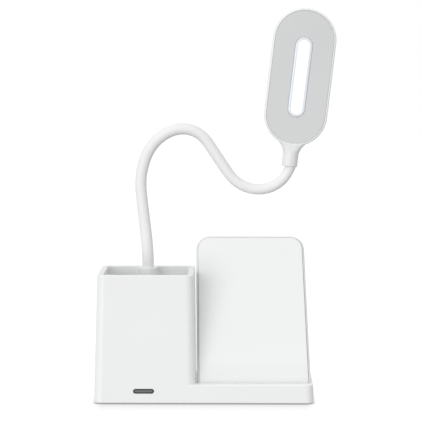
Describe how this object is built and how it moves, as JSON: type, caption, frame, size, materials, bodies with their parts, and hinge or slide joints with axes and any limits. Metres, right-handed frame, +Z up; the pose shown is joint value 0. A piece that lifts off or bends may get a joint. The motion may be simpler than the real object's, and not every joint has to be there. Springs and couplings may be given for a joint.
{
  "type": "desk lamp with pen well and phone stand",
  "caption": "Desk lamp: gooseneck arm with an oval flat light head over a square pen well, beside a leaning phone stand on one low base.",
  "frame": {"origin": "centre of the whole lamp's box at the level of the feet", "axes": "+X to the right seen from the front, +Y from the front to the back, +Z up; the light and the phone stand face -Y"},
  "size_m": [0.1898, 0.08, 0.307],
  "materials": {
    "white_plastic": "satin moulded",
    "grey_plastic": "matt moulded",
    "opal_plastic": "opal, smooth",
    "smoked_plastic": "smoked, polished",
    "sleeve_rubber": "smooth silicone",
    "foot_rubber": "matt",
    "steel": "plain",
    "board_laminate": "solder mask",
    "tinned_copper": "enamelled wire",
    "ferrite": "sintered",
    "light_chip": "phosphor coated"
  },
  "bodies": {
    "base": {"base_housing": "white_plastic", "bottom_plate": "white_plastic", "rubber_feet": "foot_rubber", "plate_screws": "steel", "ballast_plate": "steel", "main_board": "board_laminate", "board_screws": "steel", "status_lights": "light_chip", "touch_pad": "tinned_copper", "status_window": "smoked_plastic", "usb_socket": "steel", "stand_shell": "white_plastic", "stand_screws": "steel", "stand_face": "white_plastic", "charging_coil": "tinned_copper", "coil_ferrite": "ferrite", "stem_tube": "steel", "stem_nut": "steel", "conduit_1": "steel", "sleeve_1": "sleeve_rubber"},
    "link_2": {"conduit_2": "steel", "sleeve_2": "sleeve_rubber"},
    "link_3": {"conduit_3": "steel", "sleeve_3": "sleeve_rubber"},
    "link_4": {"conduit_4": "steel", "sleeve_4": "sleeve_rubber"},
    "link_5": {"conduit_5": "steel", "sleeve_5": "sleeve_rubber"},
    "link_6": {"conduit_6": "steel", "sleeve_6": "sleeve_rubber"},
    "link_7": {"conduit_7": "steel", "sleeve_7": "sleeve_rubber"},
    "link_8": {"conduit_8": "steel", "sleeve_8": "sleeve_rubber"},
    "head": {"head_cover": "white_plastic", "neck_ferrule": "steel", "face_panel": "grey_plastic", "light_lens": "opal_plastic", "light_frame": "white_plastic", "light_strip": "board_laminate", "light_chips": "light_chip", "strip_screws": "steel"}
  },
  "joints": [
    {"name": "lower_sway", "type": "hinge", "parent": "base", "child": "link_2", "pos_m": [-0.05692, 0.0247, 0.13062], "axis": [0, 1, 0], "range_deg": [-20, 4]},
    {"name": "arm_lean", "type": "hinge", "parent": "link_2", "child": "link_3", "pos_m": [-0.06042, 0.0247, 0.16062], "axis": [0.9945, 0, 0.1045], "range_deg": [-15, 15]},
    {"name": "middle_sway", "type": "hinge", "parent": "link_3", "child": "link_4", "pos_m": [-0.05605, 0.0247, 0.19018], "axis": [0, 1, 0], "range_deg": [-20, 4]},
    {"name": "arm_swing", "type": "hinge", "parent": "link_4", "child": "link_5", "pos_m": [-0.03454, 0.0247, 0.21006], "axis": [0.314, 0, -0.9494], "range_deg": [-20, 20]},
    {"name": "upper_sway", "type": "hinge", "parent": "link_5", "child": "link_6", "pos_m": [-0.00796, 0.0247, 0.20091], "axis": [0, 1, 0], "range_deg": [-15, 10]},
    {"name": "neck_lean", "type": "hinge", "parent": "link_6", "child": "link_7", "pos_m": [0.00879, 0.0247, 0.17578], "axis": [0.832, 0, 0.5548], "range_deg": [-12.5, 15]},
    {"name": "neck_sway", "type": "hinge", "parent": "link_7", "child": "link_8", "pos_m": [0.03461, 0.0247, 0.16288], "axis": [0, 1, 0], "range_deg": [-15, 10]},
    {"name": "head_aim", "type": "hinge", "parent": "link_8", "child": "head", "pos_m": [0.05751, 0.0247, 0.17989], "axis": [0.993, 0, -0.1184], "range_deg": [-25, 30]}
  ],
  "couplings": [
    {"joint": "middle_sway", "follows": "lower_sway", "ratio": 1},
    {"joint": "neck_sway", "follows": "upper_sway", "ratio": 1},
    {"joint": "neck_lean", "follows": "head_aim", "ratio": 0.5}
  ]
}
